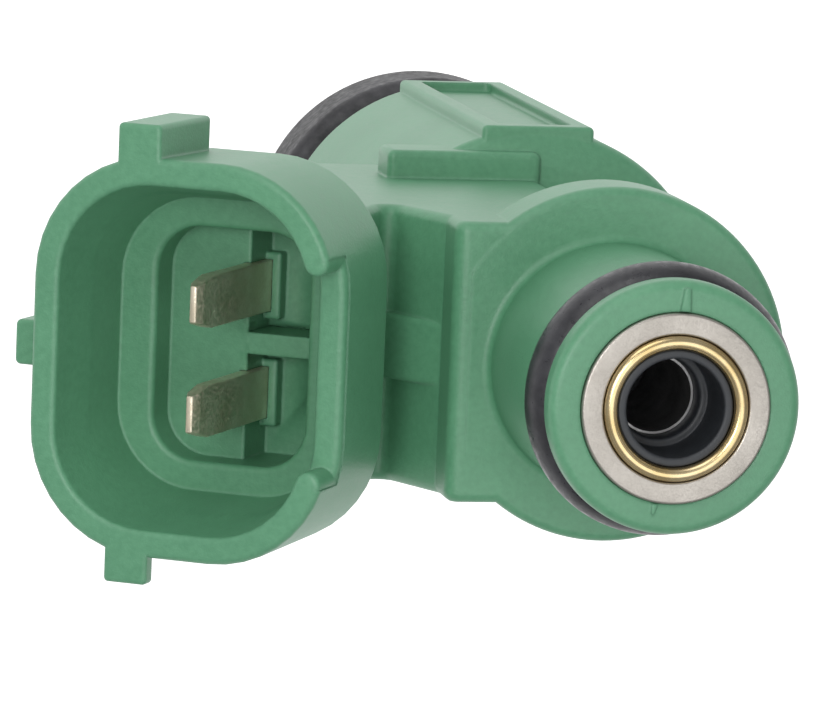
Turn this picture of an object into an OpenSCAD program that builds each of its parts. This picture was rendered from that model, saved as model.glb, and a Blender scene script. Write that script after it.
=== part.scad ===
/* [Inlet] */
// Radius of the moulded flange that keeps the rail seal on
flange_r = 5.4; // [5.3:0.1:6.6]
// Thickness of that flange
flange_t = 1.4; // [1.3:0.1:2.4]
// Rounding of the flange's edges
flange_edge_r = 0.45; // [0.2:0.05:0.6]
// How far the steel tube stands out of the flange face
tube_proud = 0.2; // [0.1:0.1:0.5]
// Width of the seal groove
groove_w = 2.8; // [2.6:0.1:3.4]
// Radius of the section of the rail seal
rail_seal_section_r = 1.24; // [0.9:0.02:1.26]
// Length of the neck between the seal groove and the shoulder
neck_len = 8.0; // [4:0.2:10]
// Radius of the neck at the shoulder
neck_r = 5.45; // [5:0.05:5.8]
// Radius of the steel inlet tube
tube_r = 3.35; // [3.1:0.05:3.6]
// Radius of the tube's flared head
tube_head_r = 4.05; // [3.9:0.05:4.4]
// Height of the flared head
tube_head_t = 1.4; // [1.2:0.1:1.5]
// Radius of the brass collar of the filter
collar_r = 3.11; // [2.95:0.01:3.2]
// Wall of the brass collar
collar_wall = 0.62; // [0.5:0.02:0.7]
// Wall of the filter's basket
basket_wall = 0.37; // [0.3:0.01:0.45]
// Length of the filter below the inlet face
filter_len = 13; // [10:0.5:15]

/* [Shoulder and arm] */
// Radius of the round shoulder
shoulder_r = 7.85; // [7:0.05:9]
// Thickness of the shoulder
shoulder_t = 3.4; // [2.5:0.1:5]
// Length of the waist between the shoulder and the coil section
waist_len = 13.8; // [13:0.2:18]
// Radius of the waist
waist_r = 5.8; // [5:0.1:6.5]
// How far the block beside the axis reaches towards the connector
block_reach = 7.15; // [6.8:0.05:7.6]
// Half of the height of the block and the arm
arm_half = 6.2; // [6:0.05:6.6]
// Height of the block's side above the web to the socket
block_side_t = 2.5; // [2:0.1:4]
// Depth of the arm's lower end below the top of the coil section
arm_drop = 5.2; // [4:0.2:8]

/* [Coil section] */
// Radius of the moulded coil section
coil_body_r = 8.5; // [8.3:0.05:10.5]
// Length of the moulded coil section
coil_body_len = 21; // [19:0.5:26]
// Wall of the overmould round the steel housing
overmould_wall = 1.0; // [0.8:0.05:1.2]
// Half of the width of the terminal bridge in front of the coil section
bridge_half = 7.5; // [6.6:0.1:8]
// Reach of the terminal bridge towards the connector
bridge_reach = 7.2; // [7:0.1:8]
// Thickness of the terminal bridge
bridge_t = 2.8; // [2:0.1:4]
// Width of the label pad
pad_w = 5.3; // [4:0.1:7]
// Height of the pad's top above the coil section
pad_proud = 0.15; // [0.1:0.05:0.6]
// Width of the raised frame round the label panel
pad_frame = 0.9; // [0.6:0.1:1.2]
// Depth of the label panel below its frame
pad_recess = 0.45; // [0.2:0.05:0.6]

/* [Connector] */
// Angle between the connector and the injector's axis
conn_angle = 31.9; // [28:0.1:36]
// Distance of the blades' tips from the injector's axis
conn_x = 18.65; // [18:0.05:22]
// Depth of the blades' tips below the inlet face
conn_drop = 12.35; // [11:0.05:14]
// Height of the socket, across both blades
socket_h = 17.4; // [16.6:0.1:18.5]
// Width of the socket
socket_w = 14.0; // [13.6:0.1:15]
// Radius of the socket's outer corners
socket_corner_r = 5.4; // [4:0.1:6]
// Wall of the socket
socket_wall = 1.15; // [0.9:0.05:1.3]
// Height of the socket's rim above the blades' tips
rim_over_tip = 1.0; // [0.5:0.1:2]
// Depth of the inner ledge below the blades' tips
ledge_depth = 4.7; // [4:0.1:5.4]
// Depth of the platform between the ledge and the pockets
platform_depth = 6.4; // [5.8:0.1:7]
// Depth of the pockets that the blades stand in
pocket_depth = 8.8; // [8:0.1:9.4]
// Height of the well below the ledge
well_h = 10.4; // [9.6:0.1:10.8]
// Width of the well below the ledge
well_w = 7.25; // [6.5:0.05:7.6]
// Depth of the lowered edge of the rim, on the side of the injector's axis
rim_cut = 1.7; // [1:0.1:3]
// Width of the rib and of the two tabs on the socket
rib_w = 2.0; // [1.5:0.1:2.5]
// Height of the rib and of the outer tab above the socket
rib_proud = 1.45; // [0.8:0.05:1.8]
// Length of the rib along the connector
rib_len = 5.5; // [4:0.1:6]
// Height of the lower tab above the socket
tab_proud = 1.2; // [0.8:0.05:1.8]
// Width of a terminal blade
blade_w = 2.3; // [2:0.05:2.8]
// Thickness of a terminal blade
blade_t = 0.64; // [0.5:0.02:0.8]
// Half of the distance between the two blades
blade_half_pitch = 2.4; // [2.2:0.05:2.6]

/* [Magnet] */
// Wall of the steel magnet housing
housing_wall = 0.9; // [0.7:0.05:1.1]
// Thickness of the housing's lower end
housing_end_t = 2.2; // [1.8:0.1:3]
// Thickness of the pole washer
washer_t = 1.8; // [1.4:0.1:2.2]
// Thickness of the bobbin's flanges
bobbin_flange_t = 1.2; // [1.1:0.1:1.6]
// Wall of the bobbin's tube
bobbin_wall = 0.8; // [0.7:0.05:0.9]
// Radius of the section of the bobbin's seals
bobbin_seal_section_r = 0.45; // [0.4:0.01:0.46]
// Height of the core's pole face above the coil section's lower end
pole_face_up = 9.6; // [9:0.1:11]
// Bare gap between the core and the valve body, closed by the sleeve
magnetic_gap = 1.2; // [0.8:0.1:1.6]
// Wall of the non-magnetic sleeve
sleeve_wall = 0.45; // [0.35:0.01:0.48]
// Length of the non-magnetic sleeve
sleeve_len = 6.5; // [5:0.5:8]

/* [Valve] */
// Lift of the needle
valve_lift = 0.09; // [0.06:0.01:0.15]
// Air gap that is left when the valve is open
residual_gap = 0.03; // [0.02:0.01:0.06]
// Length of the armature
armature_len = 6.3; // [5.4:0.1:6.6]
// Wall of the valve body round the armature
guide_wall = 0.6; // [0.5:0.05:0.7]
// Radius of the needle's shaft
needle_r = 1.0; // [0.8:0.05:1.1]
// Radius of the needle's collar under the stop plate
needle_collar_r = 1.7; // [1.5:0.05:1.9]
// Thickness of the stop plate
stop_t = 1.0; // [0.8:0.1:1.2]
// Radius of the ball
ball_r = 1.5; // [1.4:0.05:1.6]
// Radius of the outlet hole in the seat
outlet_r = 0.55; // [0.4:0.05:0.7]
// Radius of the bore of the core
core_bore_r = 1.9; // [1.7:0.05:2]
// Length of the adjusting tube
adjuster_len = 12; // [8:0.5:12.5]
// Bore radius of the adjusting tube
adjuster_bore_r = 0.85; // [0.7:0.05:0.95]
// Length of the return spring as fitted
spring_len = 7.6; // [6:0.2:9]
// Radius of the spring's wire
spring_wire_r = 0.2; // [0.15:0.01:0.22]
// Mean radius of the spring's turns
spring_r = 1.05; // [1:0.01:1.1]
// Number of turns of the spring
spring_turns = 7; // [5:1:9]

/* [Nozzle] */
// Distance from the nozzle's tip to the seat of the insulator ring
nozzle_reach = 14.2; // [12:0.2:18]
// Outer radius of the insulator ring
ring_r = 8.3; // [7.6:0.1:10]
// Thickness of the insulator ring
ring_t = 4.7; // [3.5:0.1:6]
// Outer radius of the valve body's barrel
barrel_r = 4.6; // [4.4:0.05:4.8]
// Radius of the valve body's flange
body_flange_r = 6.9; // [6.4:0.1:7.4]
// Thickness of the valve body's flange
body_flange_t = 2.5; // [2:0.1:3.5]
// Bare length of the housing below the overmould
housing_bare = 2.0; // [1:0.1:2.1]
// Outer radius of the protective cap
cap_r = 5.2; // [5.1:0.05:5.6]
// Height of the cap's end under the valve body
cap_end_t = 2.6; // [1.5:0.1:3]
// Radius of the cap's flange under the insulator ring
cap_flange_r = 6.4; // [6:0.1:7]
// Thickness of the cap's flange
cap_flange_t = 1.6; // [1:0.1:2]
// Outer radius of the valve seat
seat_r = 3.2; // [3:0.05:3.4]
// Length of the valve seat
seat_len = 5.7; // [5.4:0.1:6.5]
// Thickness of the orifice plate
plate_t = 0.35; // [0.2:0.01:0.5]
// Thickness of the ring that holds the orifice plate
retainer_t = 0.55; // [0.4:0.05:0.8]
// Number of orifices
orifices = 4; // [2:1:8]
// Radius of an orifice
orifice_r = 0.13; // [0.08:0.01:0.2]

/* [Hidden] */
$fn = 96;

// Fits: a piece that is pressed or moulded in place, and one that slides
fit = 0.02;
running = 0.03;
// Overlap of a cut past the face that it opens
past = 0.5;

// Levels up the axis, from the nozzle's tip at z = 0
z_seat = nozzle_reach;
z_ring_top = z_seat + ring_t;
z_housing_low = z_ring_top + body_flange_t;
z_housing_floor = z_housing_low + housing_end_t;
z_coil_low = z_housing_low + housing_bare;
z_coil_top = z_coil_low + coil_body_len;
z_shoulder_low = z_coil_top + waist_len;
z_shoulder = z_shoulder_low + shoulder_t;
z_groove_low = z_shoulder + neck_len;
z_flange_low = z_groove_low + groove_w;
z_flange_top = z_flange_low + flange_t;
z_inlet = z_flange_top + tube_proud;

// Magnet circuit
housing_r = coil_body_r - overmould_wall;
housing_in_r = housing_r - housing_wall;
housing_cover = 2.5;
z_housing_top = z_coil_top - housing_cover;
z_washer_low = z_housing_top - washer_t;
z_pole = z_coil_low + pole_face_up;
sleeve_in_r = tube_r + fit;
sleeve_r = sleeve_in_r + sleeve_wall;
sleeve_grip = 1.8;
z_guide_top = z_pole - magnetic_gap;
z_sleeve_low = z_guide_top - sleeve_grip;
bobbin_in_r = sleeve_r + 4 * fit;
bobbin_tube_r = bobbin_in_r + bobbin_wall;
bobbin_flange_r = housing_in_r - 0.3;
z_bobbin_low = z_housing_floor + fit;
z_bobbin_top = z_washer_low - fit;
seal_pocket_r = tube_r + 2 * bobbin_seal_section_r + 4 * fit;
seal_pocket_d = 2 * bobbin_seal_section_r + 0.15;

// Terminals: a blade along the connector, a level run to the bobbin and a leg down into it
blade_run_z = z_coil_top - 0.7;
leg_gap = 0.1;
leg_corner_r = housing_in_r - leg_gap;
leg_half = blade_half_pitch + blade_w / 2;
leg_x = sqrt(pow(leg_corner_r, 2) - pow(leg_half, 2)) - blade_t / 2;
leg_foot = 0.75;
tower_half = blade_half_pitch + blade_w / 2 + 0.4;
tower_inset = 0.7;
tower_t = 2.2;
tower_over = 0.7;

// Valve
guide_r = tube_r - guide_wall;
armature_r = guide_r - running;
z_armature_top = z_pole - valve_lift - residual_gap;
z_armature_low = z_armature_top - armature_len;
stop_gap = 0.7;
z_stop_top = z_armature_low - stop_gap;
z_stop_low = z_stop_top - stop_t;
fuel_bore_r = needle_collar_r + 0.5;
spring_seat_depth = 2.5;
spring_seat_r = spring_r + spring_wire_r + 0.1;
z_spring_low = z_armature_top - spring_seat_depth;
z_adjuster_low = z_spring_low + spring_len;
needle_grip = 3.0;
collar_len = 1.5;
stop_slot = 2 * needle_r + 0.3;
z_plate_low = cap_end_t + retainer_t;
z_seat_low = z_plate_low + plate_t;
z_seat_top = z_seat_low + seat_len;
seat_cone_z = z_seat_low + 1.5;
ball_gap = 0.015;
z_ball = seat_cone_z - outlet_r + (ball_r + ball_gap) * sqrt(2);
ball_guide_r = ball_r + running;

// Filter and inlet
collar_proud = 0.15;
collar_seat_up = 0.2;
z_collar_low = z_inlet - tube_head_t + collar_seat_up;
basket_r = collar_r - collar_wall - fit;
basket_bore_r = basket_r - basket_wall;
filter_bore_r = basket_r + 0.08;
z_filter_low = z_inlet - filter_len;
filter_foot = 1.0;
basket_mouth_len = 4.9;
mesh_r = basket_bore_r - 0.37;
mesh_wall = 0.1;
z_filter_bore_low = z_filter_low - 3;

// Connector, in its own frame: z out of the mouth, x away from the injector's axis
conn_z = z_inlet - conn_drop;
socket_left = socket_w / 2 + 0.13;
socket_right = socket_w / 2 - 0.13;
socket_back = ledge_depth + 1.2;
cavity_draft = 1.0;
well_left = well_w / 2 + 0.12;
well_right = well_w / 2 - 0.12;
well_corner_r = 2.0;
well_wall = 1.2;
platform_edge = 0.0;
pocket_rib_half = 0.48;
blade_taper_len = 1.5;
blade_taper = 0.35;
rib_x = 1.35;
tab_len = 0.8;
outer_tab_drop = 1.5;
outer_tab_len = 4.0;
notch_half = 5.0;
neck_face_depth = 10.6;
gusset_depth = 9.6;
gusset_half = 1.45;
bridge_over = 0.8;

// Cap
cap_bore_r = barrel_r + fit;
cap_mouth_r = 1.8;
cap_flare_r = 2.8;
snap_z = cap_end_t + 5;
snap_w = 0.8;
snap_d = 0.25;

green = [0.16, 0.45, 0.30];
steel = [0.72, 0.72, 0.70];
black = [0.05, 0.05, 0.06];

module ring(r_out, r_in, low, top) {
    translate([0, 0, low]) difference() {
        cylinder(r = r_out, h = top - low);
        translate([0, 0, -past]) cylinder(r = r_in, h = top - low + 2 * past);
    }
}

module bore(r, low, top) {
    translate([0, 0, low]) cylinder(r = r, h = top - low);
}

module o_ring(centre_r, section_r, z) {
    translate([0, 0, z]) rotate_extrude() translate([centre_r, 0]) circle(r = section_r);
}

// A disc with both edges rounded
module rounded_disc(r, edge, low, top) {
    translate([0, 0, low]) rotate_extrude() {
        square([r - edge, top - low]);
        translate([0, edge]) square([r, top - low - 2 * edge]);
        translate([r - edge, edge]) circle(r = edge);
        translate([r - edge, top - low - edge]) circle(r = edge);
    }
}

module rounded_rect(left, right, half, corner) {
    translate([-right + corner, -half]) square([left + right - 2 * corner, 2 * half]);
    translate([-right, -half + corner]) square([left + right, 2 * half - 2 * corner]);
    for (x = [-right + corner, left - corner], y = [-half + corner, half - corner])
        translate([x, y]) circle(r = corner);
}

module at_connector() {
    translate([conn_x, 0, conn_z]) rotate([0, conn_angle, 0]) children();
}

// A flat outline drawn in x and z, given a width across y
module across(half) {
    rotate([90, 0, 0]) linear_extrude(height = 2 * half, center = true) children();
}

// Place in x and z of a point of the connector's own frame
function conn_point(x, depth) = [
    conn_x + x * cos(conn_angle) - depth * sin(conn_angle),
    conn_z - x * sin(conn_angle) - depth * cos(conn_angle)
];

module strip(a, b, width) {
    run = b - a;
    translate(a) rotate(atan2(run[1], run[0])) translate([0, -width / 2]) square([norm(run), width]);
    translate(b) circle(r = width / 2);
}

// Depth at which the blade's line meets the level run
run_depth = (conn_z - blade_run_z) / cos(conn_angle);

module terminal(side, grow = 0) {
    thick = blade_t + 2 * grow;
    wide = blade_w + 2 * grow;
    corner = conn_point(0, run_depth);
    translate([0, side * blade_half_pitch, 0]) {
        difference() {
            across(wide / 2) {
                strip(conn_point(0, -grow), corner, thick);
                strip(corner, [leg_x, blade_run_z], thick);
                strip([leg_x, blade_run_z], [leg_x, z_bobbin_top - leg_foot - grow], thick);
            }
            at_connector() blade_taper_cut(1);
            at_connector() blade_taper_cut(-1);
        }
    }
}

// Bevel of one side of a blade's tip
module blade_taper_cut(side) {
    rotate([90, 0, 90]) linear_extrude(height = 4, center = true) polygon([
        [side * blade_w / 2, -blade_taper_len],
        [side * (blade_w / 2 - blade_taper), 0],
        [side * (blade_w / 2 - blade_taper), past],
        [side * (blade_w / 2 + past), past],
        [side * (blade_w / 2 + past), -blade_taper_len]
    ]);
}

module socket_shell() {
    translate([0, 0, -socket_back]) linear_extrude(height = socket_back + rim_over_tip)
        rounded_rect(socket_left, socket_right, socket_h / 2, socket_corner_r);
    mirror([0, 1, 0]) rib(rib_proud, rib_len);
    rib(tab_proud, tab_len);
    translate([socket_left - past, -rib_w / 2, rim_over_tip - outer_tab_drop - outer_tab_len])
        cube([rib_proud + past, rib_w, outer_tab_len]);
}

// A rib on the socket's long wall, from the rim down
module rib(proud, length) {
    translate([rib_x, socket_h / 2 - past, rim_over_tip - length]) cube([rib_w, proud + past, length]);
}

// The space inside the socket, down to the pockets
module socket_space() {
    mouth_left = socket_left - socket_wall;
    mouth_right = socket_right - socket_wall;
    mouth_half = socket_h / 2 - socket_wall;
    mouth_corner = socket_corner_r - socket_wall;
    difference() {
        translate([0, 0, -ledge_depth]) linear_extrude(height = ledge_depth + rim_over_tip + past)
            rounded_rect(mouth_left, mouth_right, mouth_half, mouth_corner);
        for (side = [-1, 1]) scale([1, side, 1]) draft_wedge(mouth_half);
    }
    translate([0, 0, -platform_depth]) linear_extrude(height = platform_depth)
        rounded_rect(well_left, well_right, well_h / 2, well_corner_r);
    difference() {
        translate([0, 0, -pocket_depth]) linear_extrude(height = pocket_depth)
            rounded_rect(well_left, well_right, well_h / 2, well_corner_r);
        translate([platform_edge, -well_h, -pocket_depth - past])
            cube([well_w, 2 * well_h, pocket_depth - platform_depth + past]);
        translate([-well_w, -pocket_rib_half, -pocket_depth - past])
            cube([2 * well_w, 2 * pocket_rib_half, pocket_depth - platform_depth + past]);
    }
}

// Thickening of the socket's long wall towards the ledge
module draft_wedge(mouth_half) {
    rotate([90, 0, 90]) linear_extrude(height = 2 * socket_w, center = true) polygon([
        [mouth_half, rim_over_tip],
        [mouth_half - cavity_draft, -ledge_depth],
        [mouth_half - cavity_draft, -ledge_depth - past],
        [mouth_half + past, -ledge_depth - past],
        [mouth_half + past, rim_over_tip]
    ]);
}

// The arm between the socket and the coil section, and the block beside the axis
module arm() {
    across(arm_half) polygon([
        [0, z_coil_top - arm_drop],
        [0, z_shoulder],
        [block_reach, z_shoulder],
        [block_reach, z_shoulder - block_side_t],
        conn_point(-well_right - well_wall, neck_face_depth),
        conn_point(-well_right - well_wall, socket_back - past),
        conn_point(well_left + well_wall, socket_back - past),
        conn_point(well_left + well_wall, arm_low_depth),
    ]);
    across(gusset_half) polygon([
        [block_reach - past, z_shoulder - block_side_t],
        [block_reach, z_shoulder - block_side_t],
        conn_point(-well_right - well_wall, gusset_depth),
        conn_point(-well_right, neck_face_depth + past),
        [block_reach - past, z_shoulder_low - shoulder_t]
    ]);
}

// Depth at which the arm's outer side meets the arm's lower end
arm_low_drop = conn_z - (z_coil_top - arm_drop) - (well_left + well_wall) * sin(conn_angle);
arm_low_depth = arm_low_drop / cos(conn_angle);

module label_pad() {
    pad_top = coil_body_r + pad_proud;
    difference() {
        translate([-pad_w / 2, -pad_top, z_coil_low]) cube([pad_w, pad_top - waist_r, coil_body_len]);
        translate([-pad_w / 2 + pad_frame, -pad_top - past, z_coil_low + pad_frame])
            cube([pad_w - 2 * pad_frame, pad_recess + past, coil_body_len - 2 * pad_frame]);
    }
}

module coil_section() {
    edge = 0.4;
    band_w = 1.25;
    band_t = 0.35;
    difference() {
        union() {
            rounded_disc(coil_body_r, edge, z_coil_low, z_coil_top);
            translate([0, 0, z_coil_top])
                cylinder(r1 = coil_body_r - edge, r2 = coil_body_r - edge - band_w, h = band_t);
        }
        translate([-pad_w / 2 + pad_frame, -coil_body_r - past, z_coil_low + pad_frame])
            cube([pad_w - 2 * pad_frame, pad_recess - pad_proud + past, coil_body_len - 2 * pad_frame]);
    }
    translate([0, -bridge_half, z_coil_top - bridge_t + bridge_over])
        cube([bridge_reach, 2 * bridge_half, bridge_t]);
}

// The round shoulder, cut flush with the block's face
module shoulder() {
    edge = 0.4;
    difference() {
        rounded_disc(shoulder_r, edge, z_shoulder_low, z_shoulder);
        translate([block_reach, -shoulder_r, z_shoulder_low - past])
            cube([shoulder_r, 2 * shoulder_r, shoulder_t + 2 * past]);
    }
}

module resin_body() {
    neck_taper = 0.2;
    color(green) difference() {
        union() {
            translate([0, 0, z_shoulder - past])
                cylinder(r1 = neck_r, r2 = neck_r - neck_taper, h = z_groove_low - z_shoulder + past);
            shoulder();
            bore(waist_r, z_coil_top - past, z_shoulder_low + past);
            coil_section();
            label_pad();
            arm();
            at_connector() socket_shell();
        }
        bore(tube_r + fit, z_coil_low, z_inlet + past);
        bore(housing_r + fit, z_coil_low - past, z_housing_top + fit);
        bobbin_tower(fit);
        terminal(-1, fit);
        terminal(1, fit);
        at_connector() socket_space();
        at_connector() rim_notch();
    }
}

// The lowered edge of the rim
module rim_notch() {
    translate([-socket_right - past, -notch_half, rim_over_tip - rim_cut])
        cube([socket_wall + 2 * past, 2 * notch_half, rim_cut + past]);
}

module inlet_flange() {
    color(green) difference() {
        rounded_disc(flange_r, flange_edge_r, z_flange_low, z_flange_top);
        bore(tube_r + fit, z_flange_low - past, z_inlet);
        bore(tube_head_r + fit, z_inlet - tube_head_t - fit, z_inlet);
    }
}

module inlet_o_ring() {
    color(black) o_ring(tube_r + fit + rail_seal_section_r, rail_seal_section_r,
        (z_groove_low + z_flange_low) / 2);
}

module core_tube() {
    color(steel) difference() {
        union() {
            bore(tube_r, z_pole, z_inlet);
            bore(tube_head_r, z_inlet - tube_head_t, z_inlet);
        }
        bore(core_bore_r, z_pole - past, z_inlet);
        bore(filter_bore_r, z_filter_bore_low, z_inlet);
        bore(collar_r + fit, z_collar_low, z_inlet + past);
    }
}

module filter_collar() {
    lip = collar_wall / 2;
    color("goldenrod") rotate_extrude() {
        translate([collar_r - collar_wall, z_collar_low + fit])
            square([collar_wall, z_inlet + collar_proud - lip - z_collar_low - fit]);
        translate([collar_r - lip, z_inlet + collar_proud - lip]) circle(r = lip);
    }
}

module filter_frame() {
    rib_half = 0.35;
    z_mouth_low = z_inlet - basket_mouth_len;
    color(black) {
        ring(basket_r, basket_bore_r, z_mouth_low, z_inlet - 0.15);
        ring(basket_r, mesh_r + fit, z_mouth_low, z_mouth_low + 0.6);
        ring(basket_r, mesh_r + fit, z_filter_low, z_filter_low + 0.8);
        bore(basket_r - 0.3, z_filter_low - filter_foot, z_filter_low);
        for (turn = [0, 120, 240])
            rotate(turn) translate([mesh_r + fit, -rib_half, z_filter_low - filter_foot / 2])
                cube([basket_r - mesh_r - 0.15, 2 * rib_half, z_mouth_low - z_filter_low + filter_foot]);
    }
}

module filter_mesh() {
    color("lightgrey") ring(mesh_r, mesh_r - mesh_wall, z_filter_low, z_inlet - basket_mouth_len + 0.6);
}

module adjusting_tube() {
    slot = 0.4;
    color(steel) difference() {
        ring(core_bore_r - fit, adjuster_bore_r, z_adjuster_low, z_adjuster_low + adjuster_len);
        translate([0, -slot / 2, z_adjuster_low - past]) cube([tube_r, slot, adjuster_len + 2 * past]);
    }
}

// A round wire wound along a helix
module helix(wire_r, turn_r, low, top, turns) {
    sides = 8;
    per_turn = 20;
    rings = turns * per_turn;
    points = [
        for (i = [0:rings], k = [0:sides - 1])
            let (turn = 360 * i / per_turn, round = 360 * k / sides, reach = turn_r + wire_r * cos(round))
                [reach * cos(turn), reach * sin(turn), low + (top - low) * i / rings + wire_r * sin(round)]
    ];
    walls = [
        for (i = [0:rings - 1], k = [0:sides - 1])
            let (next = (k + 1) % sides)
                [i * sides + k, (i + 1) * sides + k, (i + 1) * sides + next, i * sides + next]
    ];
    start = [for (k = [0:sides - 1]) k];
    end = [for (k = [sides - 1:-1:0]) rings * sides + k];
    polyhedron(points = points, faces = concat([start], walls, [end]), convexity = 12);
}

module return_spring() {
    seat = spring_wire_r + fit;
    color("silver") helix(spring_wire_r, spring_r, z_spring_low + seat, z_adjuster_low - seat, spring_turns);
}

module armature() {
    color(steel) difference() {
        bore(armature_r, z_armature_low, z_armature_top);
        bore(spring_seat_r, z_spring_low, z_armature_top + past);
        bore(needle_r * 0.6, z_armature_low - past, z_armature_top);
        bore(needle_r + fit, z_armature_low - past, z_armature_low + needle_grip);
        for (turn = [0, 90])
            rotate([90, 0, turn]) translate([0, z_armature_low + needle_grip + 0.4, 0])
                cylinder(r = 0.35, h = 3 * armature_r, center = true);
    }
}

module valve_needle() {
    z_collar_top = z_stop_low - valve_lift;
    color(steel) {
        bore(needle_r, z_ball + ball_r * 0.7, z_armature_low + needle_grip);
        bore(needle_collar_r, z_collar_top - collar_len, z_collar_top);
    }
}

module valve_ball() {
    color("silver") difference() {
        translate([0, 0, z_ball]) sphere(r = ball_r);
        bore(needle_r + fit, z_ball + ball_r * 0.7 - fit, z_ball + 2 * ball_r);
    }
}

module needle_stop() {
    color(steel) difference() {
        bore(guide_r - fit, z_stop_low, z_stop_top);
        bore(stop_slot / 2, z_stop_low - past, z_stop_top + past);
        translate([0, -stop_slot / 2, z_stop_low - past]) cube([tube_r, stop_slot, stop_t + 2 * past]);
    }
}

// Stand on the bobbin's upper flange that the terminals' legs go into
module bobbin_tower(grow = 0) {
    tower_h = z_housing_top + tower_over - z_bobbin_top;
    intersection() {
        translate([leg_x - tower_inset - grow, -tower_half - grow, z_bobbin_top - past])
            cube([tower_t + 2 * grow, 2 * (tower_half + grow), tower_h + past + grow]);
        bore(bobbin_flange_r + grow, z_bobbin_low, z_coil_top);
    }
}

module bobbin() {
    color("ivory") difference() {
        union() {
            bore(bobbin_tube_r, z_bobbin_low, z_bobbin_top);
            bore(bobbin_flange_r, z_bobbin_low, z_bobbin_low + bobbin_flange_t);
            bore(bobbin_flange_r, z_bobbin_top - bobbin_flange_t, z_bobbin_top);
            bobbin_tower();
        }
        bore(bobbin_in_r, z_bobbin_low - past, z_bobbin_top + past);
        bore(seal_pocket_r, z_bobbin_low - past, z_bobbin_low + seal_pocket_d);
        bore(seal_pocket_r, z_bobbin_top - seal_pocket_d, z_bobbin_top + past);
        terminal(-1, fit);
        terminal(1, fit);
    }
}

module coil_winding() {
    color("chocolate") ring(bobbin_flange_r - 0.15, bobbin_tube_r + fit,
        z_bobbin_low + bobbin_flange_t + fit, z_bobbin_top - bobbin_flange_t - fit);
}

module bobbin_seal_upper() {
    color(black) o_ring(tube_r + bobbin_seal_section_r + 2 * fit, bobbin_seal_section_r,
        z_bobbin_top - seal_pocket_d / 2);
}

module bobbin_seal_lower() {
    color(black) o_ring(tube_r + bobbin_seal_section_r + 2 * fit, bobbin_seal_section_r,
        z_bobbin_low + seal_pocket_d / 2);
}

module terminal_upper() {
    color("tan") terminal(-1);
}

module terminal_lower() {
    color("tan") terminal(1);
}

module magnet_housing() {
    color(steel) difference() {
        bore(housing_r, z_housing_low, z_housing_top);
        bore(housing_in_r, z_housing_floor, z_housing_top + past);
        bore(barrel_r + fit, z_housing_low - past, z_coil_top);
    }
}

module pole_washer() {
    tower_gap = 0.05;
    color(steel) difference() {
        ring(housing_in_r - fit, tube_r + fit, z_washer_low, z_housing_top - fit);
        translate([leg_x - tower_inset - tower_gap, -tower_half - tower_gap, z_washer_low - past])
            cube([3, 2 * (tower_half + tower_gap), washer_t + 2 * past]);
    }
}

module gap_sleeve() {
    color("lightsteelblue") ring(sleeve_r, sleeve_in_r, z_sleeve_low, z_sleeve_low + sleeve_len);
}

module valve_body() {
    color(steel) difference() {
        union() {
            bore(barrel_r, cap_end_t, z_housing_floor);
            bore(body_flange_r, z_ring_top, z_housing_low);
            bore(tube_r, z_ring_top, z_guide_top);
        }
        bore(guide_r, z_stop_low, z_guide_top + past);
        bore(fuel_bore_r, z_seat_top - past, z_guide_top);
        bore(seat_r + fit, cap_end_t - past, z_seat_top);
        ring(barrel_r + past, barrel_r - snap_d - fit, snap_z - fit, snap_z + snap_w + fit);
    }
}

module nozzle_seat() {
    color("silver") difference() {
        bore(seat_r, z_seat_low, z_seat_top);
        bore(outlet_r, z_seat_low - past, z_seat_top);
        translate([0, 0, seat_cone_z])
            cylinder(r1 = outlet_r, r2 = ball_guide_r, h = ball_guide_r - outlet_r);
        bore(ball_guide_r, seat_cone_z + ball_guide_r - outlet_r, z_seat_top + past);
        for (turn = [45:90:315])
            rotate(turn) translate([0, -0.5, seat_cone_z + ball_guide_r - outlet_r])
                cube([ball_guide_r + 0.6, 1, z_seat_top]);
    }
}

module orifice_plate() {
    orifice_circle_r = outlet_r * 0.55;
    color(steel) difference() {
        bore(seat_r - fit, z_plate_low, z_seat_low);
        for (i = [0:orifices - 1])
            rotate(360 * i / orifices) translate([orifice_circle_r, 0, 0])
                bore(orifice_r, z_plate_low - past, z_seat_low + past);
    }
}

module orifice_retainer() {
    color(steel) ring(seat_r - fit, cap_mouth_r, cap_end_t, z_plate_low);
}

module tip_cap() {
    color([0.12, 0.12, 0.13]) {
        difference() {
            union() {
                bore(cap_r, 0, z_seat);
                bore(cap_flange_r, z_seat - cap_flange_t, z_seat);
            }
            translate([0, 0, -fit]) cylinder(r1 = cap_flare_r, r2 = cap_mouth_r, h = cap_end_t + 2 * fit);
            bore(cap_bore_r, cap_end_t, z_seat + past);
        }
        ring(cap_bore_r + 0.1, barrel_r - snap_d, snap_z, snap_z + snap_w);
    }
}

module insulator_ring() {
    edge = 0.7;
    color(black) difference() {
        rounded_disc(ring_r, edge, z_seat, z_ring_top);
        bore(barrel_r + fit, z_seat - past, z_ring_top + past);
    }
}

resin_body();
inlet_flange();
inlet_o_ring();
core_tube();
filter_collar();
filter_frame();
filter_mesh();
adjusting_tube();
return_spring();
armature();
valve_needle();
valve_ball();
needle_stop();
bobbin();
coil_winding();
bobbin_seal_upper();
bobbin_seal_lower();
terminal_upper();
terminal_lower();
magnet_housing();
pole_washer();
gap_sleeve();
valve_body();
nozzle_seat();
orifice_plate();
orifice_retainer();
tip_cap();
insulator_ring();
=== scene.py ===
import math

import bmesh
import bpy
from mathutils import Matrix, Vector


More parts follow.
